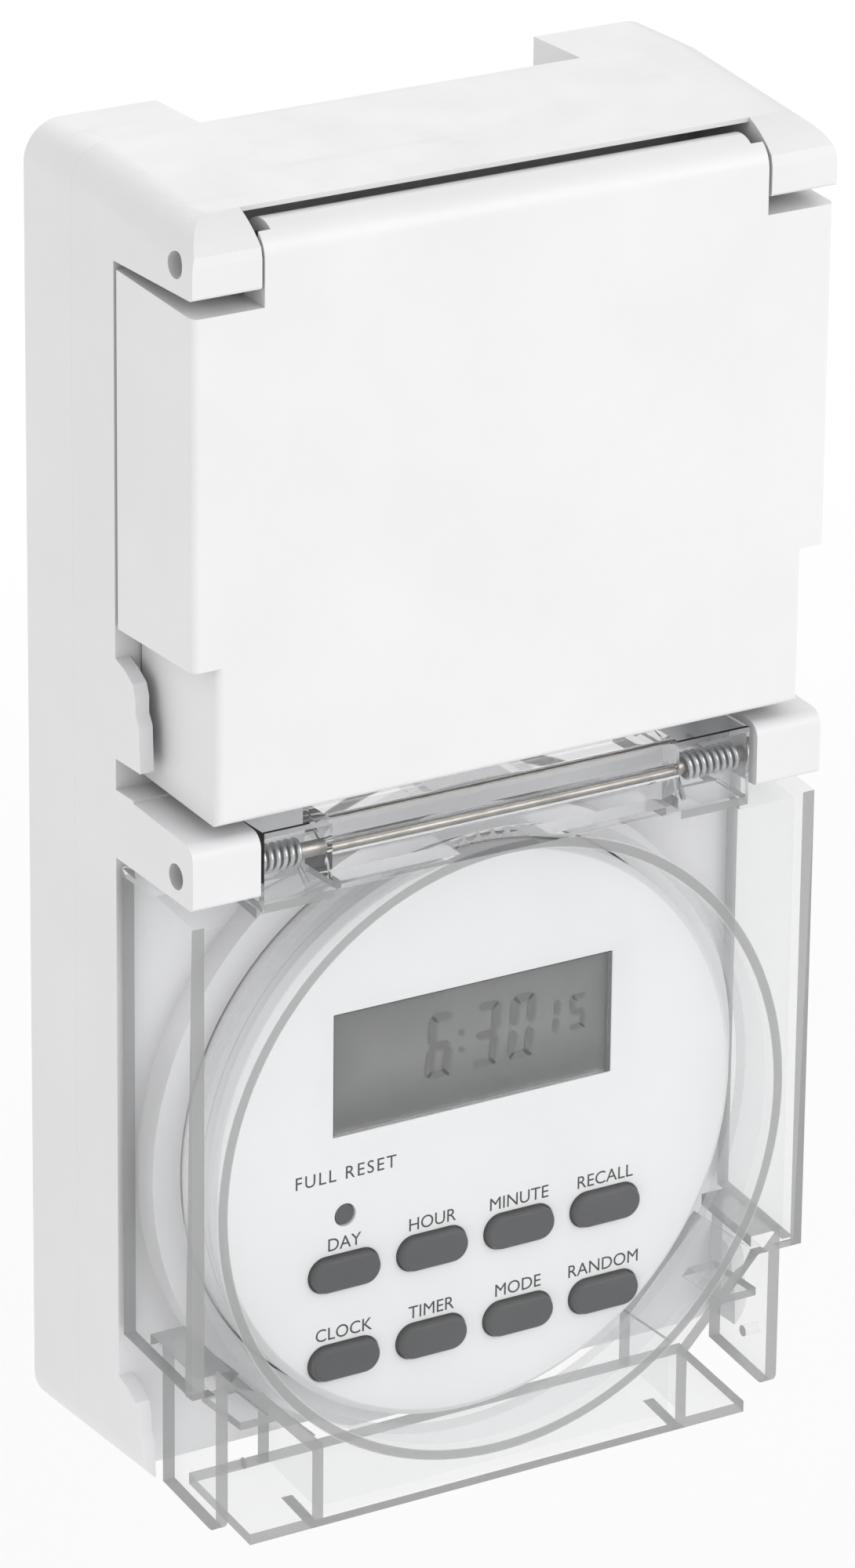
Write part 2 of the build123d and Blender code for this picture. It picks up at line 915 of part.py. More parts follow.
with BuildPart() as socket_contacts:
    for side in (-1, 1):
        disc(side * half_pitch, socket_z, contact_r, contact_end_f, insert_back_f)
        disc(
            side * half_pitch,
            socket_z,
            contact_bore_r,
            contact_end_f,
            insert_back_f,
            mode=Mode.SUBTRACT,
        )
        block(
            side * half_pitch - contact_slot_w / 2,
            side * half_pitch + contact_slot_w / 2,
            contact_end_f + contact_r,
            insert_back_f - contact_r,
            socket_z + contact_bore_r / 2,
            socket_z + contact_r + 1,
            mode=Mode.SUBTRACT,
        )
save(socket_contacts.part, "socket_contacts")

with BuildPart() as socket_earth_clip:
    block(
        -earth_w / 2,
        earth_w / 2,
        earth_plate_f0,
        earth_plate_f0 + earth_t,
        socket_z - earth_arm_z - earth_t,
        socket_z + earth_arm_z + earth_t,
    )
    for side in (-1, 1):
        block(
            -earth_w / 2,
            earth_w / 2,
            earth_plate_f0,
            earth_arm_front_f,
            *span(
                socket_z + side * earth_arm_z,
                socket_z + side * (earth_arm_z + earth_t),
            ),
        )
save(socket_earth_clip.part, "socket_earth_clip")

# ---------------------------------------------------------------- plug on the back
spigot_flange_f1 = f_channel + floor_t + spigot_flange_t
key_slot_w = 6.0
key_slot_d = 1.6
pin_root_f = -1.4
link_r = 2.2
pin_collar_r = 3.3
pin_collar_t = 2.0
pin_tip_r = 0.9
pin_shank_r = 3.0
strip_t = 0.7
strip_gap = 0.1
plug_seal_in = 0.3
plug_seal_r = 25.5
plug_seal_t = 2.6
with BuildPart() as plug_body:
    with BuildSketch(Plane.XZ.offset(-spigot_face_y)) as spigot:
        with Locations((0, socket_z)):
            Circle(spigot_r)
            Rectangle(2 * flat_x, 2 * spigot_r, mode=Mode.INTERSECT)
        for side in (-1, 1):
            with Locations((0, socket_z + side * spigot_r)):
                Rectangle(key_slot_w, 2 * key_slot_d, mode=Mode.SUBTRACT)
    extrude(spigot.sketch, amount=spigot_face_y + f_channel)
    disc(0, socket_z, spigot_r, f_channel, spigot_flange_f1)
    disc(0, socket_z, spigot_flange_r, f_channel + floor_t, spigot_flange_f1)
    with BuildSketch(Plane.XZ.offset(-spigot_face_y + spigot_face_t)) as hollow:
        with Locations((0, socket_z)):
            Circle(spigot_r - spigot_wall)
            Rectangle(2 * (flat_x - spigot_wall), 2 * spigot_r, mode=Mode.INTERSECT)
        for side in (-1, 1):
            with Locations((0, socket_z + side * spigot_r)):
                Rectangle(
                    key_slot_w + 2 * spigot_wall,
                    2 * (key_slot_d + spigot_wall),
                    mode=Mode.SUBTRACT,
                )
    extrude(
        hollow.sketch,
        amount=spigot_face_y - spigot_face_t + spigot_flange_f1,
        mode=Mode.SUBTRACT,
    )
    for side in (-1, 1):
        strip_z = socket_z + side * (spigot_r - key_slot_d)
        block(
            -key_slot_w / 2,
            key_slot_w / 2,
            f_channel,
            spigot_flange_f1,
            *span(strip_z - side * strip_gap, strip_z + side * (strip_t + strip_gap)),
            mode=Mode.SUBTRACT,
        )
    for side in (-1, 1):
        disc(
            side * half_pitch,
            socket_z,
            pin_shank_r,
            -spigot_face_y,
            -spigot_face_y + spigot_face_t,
            mode=Mode.SUBTRACT,
        )
save(plug_body.part, "plug_body")

with BuildPart() as plug_pins:
    for side in (-1, 1):
        disc(
            side * half_pitch,
            socket_z,
            plug_pin_r,
            -spigot_face_y - plug_pin_len,
            -spigot_face_y,
        )
    fillet(plug_pins.edges().group_by(Axis.Y)[-1], pin_tip_r)
    for side in (-1, 1):
        disc(side * half_pitch, socket_z, pin_shank_r, -spigot_face_y, pin_root_f)
        disc(
            side * half_pitch,
            socket_z,
            pin_collar_r,
            -spigot_face_y + spigot_face_t,
            -spigot_face_y + spigot_face_t + pin_collar_t,
        )
save(plug_pins.part, "plug_pins")

with BuildPart() as plug_earth_strips:
    for side in (-1, 1):
        strip_z = socket_z + side * (spigot_r - key_slot_d)
        block(
            -key_slot_w / 2 + strip_gap,
            key_slot_w / 2 - strip_gap,
            -spigot_face_y + strip_t,
            earth_plate_f0,
            *span(strip_z, strip_z + side * strip_t),
        )
save(plug_earth_strips.part, "plug_earth_strips")

with BuildPart() as plug_seal:
    disc(0, socket_z, plug_seal_r, f_channel - plug_seal_t, f_channel)
    disc(
        0,
        socket_z,
        spigot_r + plug_seal_in,
        f_channel - plug_seal_t,
        f_channel,
        mode=Mode.SUBTRACT,
    )
    fillet(plug_seal.edges().group_by(Axis.Y)[-1], plug_seal_in)
save(plug_seal.part, "plug_seal")

# ---------------------------------------------------------------- timer module
case_inner_r = module_r - case_wall
cable_slot_w = 10.0
cable_slot_h = 4.0
cable_slot_z = 70.0
case_rim_r = 37.6
case_rim_f = 28.6
module_flat_z = 7.1
cable_x = 3.6
module_screw_ring = 33.5
module_screw_r = 0.9
module_screw_head_r = 1.9
module_screw_head_t = 1.1
module_screw_tip_f = 24.0
module_boss_r = 2.3
module_screw_spots = [
    (
        module_screw_ring * math.cos(math.radians(angle)),
        module_z + module_screw_ring * math.sin(math.radians(angle)),
    )
    for angle in (90, 210, 330)
]
with BuildPart() as module_case:
    disc(0, module_z, module_r, f_case_back, f_case_front)
    disc(0, module_z, flange_r, flange_f0, flange_f1)
    disc(0, module_z, case_inner_r, f_case_back + case_floor_t, f_case_front, mode=Mode.SUBTRACT)
    disc(0, module_z, case_rim_r, case_rim_f, f_case_front, mode=Mode.SUBTRACT)
    block(
        -module_r,
        module_r,
        f_case_back,
        f_base - wall,
        module_z - flange_r,
        module_flat_z,
        mode=Mode.SUBTRACT,
    )
    block(
        -cable_slot_w / 2,
        cable_slot_w / 2,
        f_case_back,
        f_case_back + case_floor_t,
        cable_slot_z,
        cable_slot_z + cable_slot_h,
        mode=Mode.SUBTRACT,
    )
    for x, z in module_screw_spots:
        disc(x, z, module_screw_r, f_case_back, f_case_back + case_floor_t, mode=Mode.SUBTRACT)
save(module_case.part, "module_case")

with BuildPart() as module_gasket:
    disc(0, module_z, flange_r, flange_f1, f_base - wall)
    disc(0, module_z, module_hole_r, flange_f1, f_base - wall, mode=Mode.SUBTRACT)
    block(
        -module_r,
        module_r,
        flange_f1,
        f_base - wall,
        module_z - flange_r,
        module_flat_z,
        mode=Mode.SUBTRACT,
    )
save(module_gasket.part, "module_gasket")

keys = {
    "key_day": (-1.5, 0.5),
    "key_hour": (-0.5, 0.5),
    "key_minute": (0.5, 0.5),
    "key_recall": (1.5, 0.5),
    "key_clock": (-1.5, -0.5),
    "key_program": (-0.5, -0.5),
    "key_mode": (0.5, -0.5),
    "key_random": (1.5, -0.5),
}
key_spots = {
    name: (column * key_pitch_x, key_rows_z + row * key_pitch_z)
    for name, (column, row) in keys.items()
}
with BuildPart() as module_face:
    disc(0, module_z, module_r, f_case_front, f_face)
    chamfer(
        module_face.edges().group_by(Axis.Y)[0],
        length=face_bevel_d,
        length2=face_bevel_w,
        reference=module_face.faces().sort_by(Axis.Y)[1],
    )
    with BuildSketch(Plane.XZ.offset(f_face)) as wide:
        with Locations((0, lcd_z)):
            Rectangle(bevel_w, bevel_h)
    with BuildSketch(Plane.XZ.offset(f_glass)) as narrow:
        with Locations((0, lcd_z)):
            Rectangle(lcd_w, lcd_h)
    loft([wide.sketch.faces()[0], narrow.sketch.faces()[0]], mode=Mode.SUBTRACT)
    block(
        -lcd_w / 2,
        lcd_w / 2,
        f_case_front,
        f_glass,
        lcd_z - lcd_h / 2,
        lcd_z + lcd_h / 2,
        mode=Mode.SUBTRACT,
    )
    for x, z in key_spots.values():
        stadium(x, z, key_hole_w, key_hole_h, f_case_front, f_face, mode=Mode.SUBTRACT)
    disc(reset_x, reset_z, reset_hole_r, f_case_front, f_face, mode=Mode.SUBTRACT)
    for x, z in module_screw_spots:
        disc(x, z, module_boss_r, f_case_back + case_floor_t, f_case_front)
        disc(
            x,
            z,
            module_screw_r,
            f_case_back + case_floor_t,
            module_screw_tip_f,
            mode=Mode.SUBTRACT,
        )
save(module_face.part, "module_face")

with BuildPart() as module_screws:
    for x, z in module_screw_spots:
        disc(x, z, module_screw_r, f_case_back, module_screw_tip_f)
        disc(x, z, module_screw_head_r, f_case_back - module_screw_head_t, f_case_back)
        block(
            x - module_screw_head_r / 2,
            x + module_screw_head_r / 2,
            f_case_back - module_screw_head_t,
            f_case_back - module_screw_head_t / 2,
            z - strip_t / 2,
            z + strip_t / 2,
            mode=Mode.SUBTRACT,
        )
save(module_screws.part, "module_screws")

with BuildPart() as lcd_window:
    block(
        -lcd_w / 2 + window_gap,
        lcd_w / 2 - window_gap,
        f_glass - window_t,
        f_glass,
        lcd_z - lcd_h / 2 + window_gap,
        lcd_z + lcd_h / 2 - window_gap,
    )
save(lcd_window.part, "lcd_window")

with BuildPart() as lcd_panel:
    block(
        -lcd_w / 2 - panel_margin,
        lcd_w / 2 + panel_margin,
        f_case_front - panel_t,
        f_case_front,
        lcd_z - lcd_h / 2 - panel_margin,
        lcd_z + lcd_h / 2 + panel_margin,
    )
save(lcd_panel.part, "lcd_panel")

connector_half_w = 19.0
connector_h = 2.0
connector_z = lcd_z - lcd_h / 2 + connector_h
with BuildPart() as lcd_connector:
    block(
        -connector_half_w,
        connector_half_w,
        board_f1,
        f_case_front - panel_t,
        connector_z - connector_h / 2,
        connector_z + connector_h / 2,
    )
save(lcd_connector.part, "lcd_connector")


for name, (x, z) in key_spots.items():
    with BuildPart() as key:
        stadium(
            x,
            z,
            key_hole_w - 2 * key_gap,
            key_hole_h - 2 * key_gap,
            key_flange_f1,
            key_top_f,
        )
        fillet(key.edges().group_by(Axis.Y)[0], key_round)
        stadium(x, z, key_flange_w, key_flange_h, key_flange_f0, key_flange_f1)
        disc(x, z, key_pill_r, key_pill_f, key_flange_f0)
    save(key.part, name)

with BuildPart() as reset_button:
    disc(reset_x, reset_z, reset_r, key_flange_f1, reset_top_f)
    disc(reset_x, reset_z, reset_flange_r, key_flange_f0, key_flange_f1)
    disc(reset_x, reset_z, reset_r, key_pill_f, key_flange_f0)
save(reset_button.part, "reset_button")

with BuildPart() as key_mat:
    block(-mat_half_w, mat_half_w, mat_f0, mat_f1, mat_z0, mat_z1)
    disc(0, module_z, mat_r, mat_f0, mat_f1, mode=Mode.INTERSECT)
save(key_mat.part, "key_mat")

with BuildPart() as control_board:
    disc(0, module_z, board_r, board_f0, board_f1)
    for x, z in module_screw_spots:
        disc(x, z, module_boss_r + running_gap, board_f0, board_f1, mode=Mode.SUBTRACT)
save(control_board.part, "control_board")

chip_half = 5.0
chip_x = 8.0
chip_z = 48.0
chip_t = 1.6
with BuildPart() as control_chip:
    block(
        chip_x - chip_half,
        chip_x + chip_half,
        board_f0 - chip_t,
        board_f0,
        chip_z - chip_half,
        chip_z + chip_half,
    )
save(control_chip.part, "control_chip")

battery_r = 6.2
battery_x = -14.0
battery_z = 58.0
battery_t = 6.0
with BuildPart() as backup_battery:
    disc(battery_x, battery_z, battery_r, board_f0 - battery_t, board_f0)
    fillet(backup_battery.edges().group_by(Axis.Y)[-1], window_t / 2)
save(backup_battery.part, "backup_battery")

# ---------------------------------------------------------------- power side, in the right leg
power_x0 = 29.4
power_x1 = 42.4
power_f0 = 17.4
power_f1 = 19.0
power_z0 = 97.0
power_z1 = 159.0
power_notch = 4.6
relay_f0 = 3.0
relay_z0 = 100.4
relay_z1 = 129.4
part_inset = 0.3
capacitor_f0 = 6.0
capacitor_z0 = 138.0
capacitor_z1 = 156.0
with BuildPart() as power_board:
    block(power_x0, power_x1, power_f0, power_f1, power_z0, power_z1)
save(power_board.part, "power_board")

with BuildPart() as relay:
    block(
        power_x0 + part_inset,
        power_x1 - part_inset,
        relay_f0,
        power_f0,
        relay_z0,
        relay_z1,
    )
    fillet(relay.edges().filter_by(Axis.Z), part_inset)
save(relay.part, "relay")

with BuildPart() as supply_capacitor:
    block(
        power_x0 + part_inset,
        power_x1 - part_inset,
        capacitor_f0,
        power_f0,
        capacitor_z0,
        capacitor_z1,
    )
    fillet(supply_capacitor.edges().filter_by(Axis.Z), 2 * part_inset)
save(supply_capacitor.part, "supply_capacitor")

wire_f = 15.95
thin_wire_f = 15.42
thick_wire_r = 0.9
thin_wire_r = 0.6
module_wire_f = 13.7


def wire(name, radius, points):
    """Insulated conductor along straight runs; each point is (x, f, z)."""
    with BuildPart() as run:
        with BuildLine() as path:
            Polyline([(x, -f, z) for x, f, z in points])
        with BuildSketch(Plane(origin=path.line @ 0, z_dir=path.line % 0)):
            Circle(radius)
        sweep(transition=Transition.ROUND)
    save(run.part, name)


pin_side_x = half_pitch + pin_collar_r
tube_side_x = half_pitch + contact_r
line_drop_x = 14.2
line_wire_z = 131.5
line_wire_x = 33.0
switched_wire_z = 133.6
switched_wire_x = 36.5
neutral_wire_z = 136.2
neutral_wire_x = 40.0
module_wire_x = 34.0
module_wire_top_z = 98.8
module_wire_low_z = 94.0
pin_wire_f = -spigot_face_y + spigot_face_t + pin_collar_t / 2
wire(
    "wire_line_in",
    thick_wire_r,
    [
        (pin_side_x, pin_wire_f, socket_z),
        (line_drop_x, pin_wire_f, socket_z),
        (line_drop_x, wire_f, socket_z),
        (line_drop_x, wire_f, line_wire_z),
        (line_wire_x, wire_f, line_wire_z),
        (line_wire_x, power_f0, line_wire_z),
    ],
)
wire(
    "wire_switched",
    thick_wire_r,
    [
        (half_pitch, wire_f, socket_z + contact_r),
        (half_pitch, wire_f, switched_wire_z),
        (switched_wire_x, wire_f, switched_wire_z),
        (switched_wire_x, power_f0, switched_wire_z),
    ],
)
wire(
    "wire_neutral",
    thin_wire_r,
    [
        (-tube_side_x, thin_wire_f, socket_z),
        (-line_drop_x, thin_wire_f, socket_z),
        (-line_drop_x, thin_wire_f, neutral_wire_z),
        (neutral_wire_x, thin_wire_f, neutral_wire_z),
        (neutral_wire_x, power_f0, neutral_wire_z),
    ],
)
wire(
    "wire_module",
    thin_wire_r,
    [
        (module_wire_x, power_f0, module_wire_top_z),
        (module_wire_x, module_wire_f, module_wire_top_z),
        (module_wire_x, module_wire_f, module_wire_low_z),
        (cable_x, module_wire_f, module_wire_low_z),
        (cable_x, module_wire_f, cable_slot_z + cable_slot_h / 2),
        (cable_x, board_f0, cable_slot_z + cable_slot_h / 2),
    ],
)

with BuildPart() as neutral_link:
    disc(-half_pitch, socket_z, link_r, pin_root_f, contact_end_f)
save(neutral_link.part, "neutral_link")
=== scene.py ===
from collections import Counter
import json
import math

import bmesh
import bpy
from mathutils import Matrix, Vector
from mathutils.bvhtree import BVHTree


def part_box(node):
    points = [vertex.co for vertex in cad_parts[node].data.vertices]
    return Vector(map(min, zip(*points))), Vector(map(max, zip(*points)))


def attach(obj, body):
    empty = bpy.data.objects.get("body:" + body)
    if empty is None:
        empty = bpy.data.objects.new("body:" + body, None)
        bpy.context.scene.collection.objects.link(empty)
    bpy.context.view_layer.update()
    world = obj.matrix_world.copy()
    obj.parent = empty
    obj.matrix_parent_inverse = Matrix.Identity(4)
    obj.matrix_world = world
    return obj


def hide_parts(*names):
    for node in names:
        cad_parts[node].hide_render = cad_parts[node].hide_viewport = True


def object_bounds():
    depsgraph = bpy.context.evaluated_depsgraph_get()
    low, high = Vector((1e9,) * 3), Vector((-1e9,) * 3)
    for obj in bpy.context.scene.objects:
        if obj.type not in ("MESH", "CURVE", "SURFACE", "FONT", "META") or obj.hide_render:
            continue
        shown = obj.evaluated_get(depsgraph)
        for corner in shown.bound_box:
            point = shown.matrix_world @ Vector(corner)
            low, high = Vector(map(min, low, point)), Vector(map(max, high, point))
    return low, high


MM = 0.001
CORNERS = ((-1, -1), (1, -1), (1, 1), (-1, 1))

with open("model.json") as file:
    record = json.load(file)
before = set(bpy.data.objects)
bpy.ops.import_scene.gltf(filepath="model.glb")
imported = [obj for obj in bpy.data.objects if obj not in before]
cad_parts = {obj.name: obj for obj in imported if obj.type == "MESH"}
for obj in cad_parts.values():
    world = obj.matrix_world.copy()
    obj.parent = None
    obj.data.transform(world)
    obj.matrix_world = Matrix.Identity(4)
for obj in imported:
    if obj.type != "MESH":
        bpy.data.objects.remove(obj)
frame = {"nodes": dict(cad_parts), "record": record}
cad_low, cad_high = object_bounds()
nodes = frame["nodes"]

# ------------------------------------------------------------------ materials


def new_tree(name):
    """Empty node tree with an output, and its object coordinates."""
    mat = bpy.data.materials.new(name)
    mat.use_nodes = True
    tree = mat.node_tree
    tree.nodes.clear()
    out = tree.nodes.new("ShaderNodeOutputMaterial")
    coords = tree.nodes.new("ShaderNodeTexCoord")
    return mat, tree, out, coords.outputs["Object"]


def feed(tree, socket, value):
    """Set a socket to a number or a colour, or link it to another node's output."""
    if isinstance(value, (int, float)):
        socket.default_value = value
    elif isinstance(value, tuple):
        socket.default_value = (*value, 1.0)
    else:
        tree.links.new(value, socket)


def noise(tree, vector, scale, detail=3.0, roughness=0.5):
    """Grey noise with about scale patches to a metre."""
    node = tree.nodes.new("ShaderNodeTexNoise")
    node.inputs["Scale"].default_value = scale
    node.inputs["Detail"].default_value = detail
    node.inputs["Roughness"].default_value = roughness
    tree.links.new(vector, node.inputs["Vector"])
    return node.outputs["Fac"]


def stretched(tree, vector, scales):
    """Coordinates scaled by its own factor along each axis."""
    node = tree.nodes.new("ShaderNodeMapping")
    node.inputs["Scale"].default_value = scales
    tree.links.new(vector, node.inputs["Vector"])
    return node.outputs["Vector"]


def remap(tree, value, low, high, out_low, out_high):
    """The range low to high mapped to out_low to out_high, and held at its ends."""
    node = tree.nodes.new("ShaderNodeMapRange")
    node.inputs["From Min"].default_value = low
    node.inputs["From Max"].default_value = high
    node.inputs["To Min"].default_value = out_low
    node.inputs["To Max"].default_value = out_high
    tree.links.new(value, node.inputs["Value"])
    return node.outputs["Result"]


def maths(tree, operation, a, b=0.0):
    """Result of one operation. Operations on a single value leave b alone."""
    node = tree.nodes.new("ShaderNodeMath")
    node.operation = operation
    feed(tree, node.inputs[0], a)
    feed(tree, node.inputs[1], b)
    return node.outputs[0]


MIX_FACTOR, MIX_A, MIX_B, MIX_RESULT = 0, 6, 7, 2


def blend(tree, factor, a, b, mode="MIX"):
    """Two colours mixed by a factor."""
    node = tree.nodes.new("ShaderNodeMix")
    node.data_type = "RGBA"
    node.blend_type = mode
    feed(tree, node.inputs[MIX_FACTOR], factor)
    feed(tree, node.inputs[MIX_A], a)
    feed(tree, node.inputs[MIX_B], b)
    return node.outputs[MIX_RESULT]


def bump(tree, height, depth, strength=1.0, under=None):
    """Normal raised by a height, on top of another bump's normal if there is one."""
    node = tree.nodes.new("ShaderNodeBump")
    node.inputs["Distance"].default_value = depth
    node.inputs["Strength"].default_value = strength
    tree.links.new(height, node.inputs["Height"])
    if under is not None:
        tree.links.new(under, node.inputs["Normal"])
    return node.outputs["Normal"]


PATCHES = 55.0
CLOUDS = 160.0
WAVES = 38.0
WAVE_DEPTH = 0.25 * MM
SHADE_SAMPLES = 4
SHADE_REACH = 5.0 * MM
MOULDED_IOR = 1.5
SCRATCHED = 0.08
# Each family of hairlines: how the noise is stretched, and where a line starts and is full.
HAIRLINES = (
    ((420.0, 420.0, 14.0), 0.66, 0.7),
    ((22.0, 300.0, 480.0), 0.67, 0.71),
)


def moulded(name, colour, rough, grain=3200.0, grain_depth=0.012 * MM, mottle=0.03, shade=0.25):
    """Moulded plastic or rubber: fine grain, slight mottling, hairline scratches, painted shade in
    gaps.
    """
    mat, tree, out, vector = new_tree(name)
    shader = tree.nodes.new("ShaderNodeBsdfPrincipled")
    shader.inputs["IOR"].default_value = MOULDED_IOR
    darker = tuple(c * (1 - mottle) for c in colour)
    patches = remap(tree, noise(tree, vector, PATCHES, 4.0), 0.35, 0.65, 0.0, 1.0)
    base = blend(tree, patches, darker, colour)
    # Painted shade: the base colour is darkened, by up to the shade share, where ambient occlusion
    # finds nearby surfaces.
    if shade > 0:
        gaps = tree.nodes.new("ShaderNodeAmbientOcclusion")
        gaps.samples = SHADE_SAMPLES
        gaps.inputs["Distance"].default_value = SHADE_REACH
        open_share = remap(tree, gaps.outputs["AO"], 0.2, 0.9, 1 - shade, 1.0)
        grey = tree.nodes.new("ShaderNodeCombineColor")
        for channel in grey.inputs:
            tree.links.new(open_share, channel)
        base = blend(tree, 1.0, base, grey.outputs[0], "MULTIPLY")
    tree.links.new(base, shader.inputs["Base Color"])
    families = [
        remap(tree, noise(tree, stretched(tree, vector, stretch), 1.0, 2.0), start, full, 0.0, 1.0)
        for stretch, start, full in HAIRLINES
    ]
    lines = maths(tree, "MAXIMUM", *families)
    cloud = remap(tree, noise(tree, vector, CLOUDS, 3.0), 0.3, 0.7, rough - 0.04, rough + 0.05)
    rough_out = maths(tree, "ADD", cloud, maths(tree, "MULTIPLY", lines, SCRATCHED))
    tree.links.new(rough_out, shader.inputs["Roughness"])
    normal = bump(tree, noise(tree, vector, grain, 2.0), grain_depth, 0.6)
    normal = bump(tree, noise(tree, vector, WAVES, 1.0), WAVE_DEPTH, 0.25, normal)
    tree.links.new(normal, shader.inputs["Normal"])
    tree.links.new(shader.outputs[0], out.inputs["Surface"])
    return mat


ALONG_X = (900.0, 60.0, 60.0)
ALONG_Y = (60.0, 900.0, 60.0)
SPOTS = 420.0
DRAW_DEPTH = 0.01 * MM
DULLED = 0.72


def metal(name, colour, rough, stretch=ALONG_X):
    """Drawn or plated metal: fine lines along one direction and dull spots."""
    mat, tree, out, vector = new_tree(name)
    shader = tree.nodes.new("ShaderNodeBsdfPrincipled")
    shader.inputs["Metallic"].default_value = 1.0
    lines = noise(tree, stretched(tree, vector, stretch), 1.0, 3.0)
    spots = remap(tree, noise(tree, vector, SPOTS, 4.0), 0.45, 0.75, 0.0, 1.0)
    dull = tuple(c * DULLED for c in colour)
    tree.links.new(blend(tree, spots, colour, dull), shader.inputs["Base Color"])
    base_rough = remap(tree, lines, 0.3, 0.7, rough - 0.06, rough + 0.08)
    tree.links.new(
        maths(tree, "ADD", base_rough, maths(tree, "MULTIPLY", spots, 0.12)),
        shader.inputs["Roughness"],
    )
    tree.links.new(bump(tree, lines, DRAW_DEPTH, 0.5), shader.inputs["Normal"])
    tree.links.new(shader.outputs[0], out.inputs["Surface"])
    return mat


BAND_SOFT = 0.12 * MM
BAND_DEPTH = 0.3 * MM
BAND_FADE = 0.2 * MM
BLOCK_FADE = 0.1 * MM
RIPPLES = 90.0
RIPPLE_DEPTH = 0.04 * MM
SMUDGES = 60.0
CLEAR_HAIRLINES = (500.0, 500.0, 12.0)


def ring_shade_band(tree, split, ring):
    """Share of the painted grey shade band where the cover's plate meets the end of its ring."""
    centre_x, centre_z, inner, outer, front = ring
    x = maths(tree, "SUBTRACT", split.outputs["X"], centre_x)
    z = maths(tree, "SUBTRACT", split.outputs["Z"], centre_z)
    squares = maths(tree, "ADD", maths(tree, "MULTIPLY", x, x), maths(tree, "MULTIPLY", z, z))
    radius = maths(tree, "SQRT", squares)
    within = remap(tree, radius, inner - BAND_SOFT, inner + BAND_SOFT, 0.0, 1.0)
    beyond = remap(tree, radius, outer - BAND_SOFT, outer + BAND_SOFT, 1.0, 0.0)
    deep = front + BAND_DEPTH
    near = remap(tree, split.outputs["Y"], deep, deep + BAND_FADE, 1.0, 0.0)
    return maths(tree, "MULTIPLY", maths(tree, "MULTIPLY", within, beyond), near)


def clear(name, tint, rough, ior, ring=None, block=None, see_through=0.0, opaque=0.0):
    """Clear plastic. Thin walls are seen straight through, a thick block bends what is behind it."""
    mat, tree, out, vector = new_tree(name)
    shader = tree.nodes.new("ShaderNodeBsdfPrincipled")
    shader.inputs["IOR"].default_value = ior
    split = tree.nodes.new("ShaderNodeSeparateXYZ")
    tree.links.new(vector, split.inputs[0])
    smudge = remap(tree, noise(tree, vector, SMUDGES, 4.0), 0.5, 0.8, 0.0, 1.0)
    colour = blend(tree, smudge, tint, tuple(c * 0.985 for c in tint))
    through = see_through
    if see_through > 0:
        facing = tree.nodes.new("ShaderNodeLayerWeight")
        facing.inputs["Blend"].default_value = 0.3
        through = remap(tree, facing.outputs["Fresnel"], 0.0, 1.0, see_through, see_through * 0.8)
        through = maths(tree, "SUBTRACT", through, maths(tree, "MULTIPLY", smudge, 0.01))
    if ring is not None:
        # Painted shade: a grey band where the plate meets the ring's end, standing for the darkening
        # that refraction gives there.
        shade_band = ring_shade_band(tree, split, ring)
        colour = blend(tree, shade_band, colour, EDGE_SHADE_GREY)
        open_share = remap(tree, shade_band, 0.0, 1.0, 1.0, 1.0 - EDGE_SHADE_SHARE)
        through = maths(tree, "MULTIPLY", through, open_share)
    shader.inputs["Transmission Weight"].default_value = 1.0 - opaque
    if block is not None:
        middle_z, half_h = block
        off = maths(tree, "ABSOLUTE", maths(tree, "SUBTRACT", split.outputs["Z"], middle_z))
        thin = remap(tree, off, half_h, half_h + BLOCK_FADE, 0.0, 1.0)
        through = maths(tree, "MULTIPLY", through, thin)
        thick = maths(tree, "SUBTRACT", 1.0, thin)
        tree.links.new(thick, shader.inputs["Transmission Weight"])
    tree.links.new(colour, shader.inputs["Base Color"])
    hair = noise(tree, stretched(tree, vector, CLEAR_HAIRLINES), 1.0, 2.0)
    lines = remap(tree, hair, 0.7, 0.73, 0.0, 0.05)
    worn = maths(tree, "MULTIPLY", smudge, 0.02)
    rough_out = maths(tree, "ADD", worn, maths(tree, "ADD", lines, rough))
    tree.links.new(rough_out, shader.inputs["Roughness"])
    ripple = bump(tree, noise(tree, vector, RIPPLES, 1.0), RIPPLE_DEPTH, 0.12)
    tree.links.new(ripple, shader.inputs["Normal"])
    straight = tree.nodes.new("ShaderNodeBsdfTransparent")
    straight.inputs["Color"].default_value = (*CLEAR_TINT, 1.0)
    rays = tree.nodes.new("ShaderNodeLightPath")
    mixed = tree.nodes.new("ShaderNodeMixShader")
    share = maths(tree, "MAXIMUM", rays.outputs["Is Shadow Ray"], through)
    tree.links.new(share, mixed.inputs[0])
    tree.links.new(shader.outputs[0], mixed.inputs[1])
    tree.links.new(straight.outputs[0], mixed.inputs[2])
    tree.links.new(mixed.outputs[0], out.inputs["Surface"])
    return mat


PANEL_MIDDLE = (0.23, 0.232, 0.23)
PANEL_EDGE = (0.09, 0.091, 0.09)
CELLS = 5200.0
CELL_DEPTH = 0.001 * MM


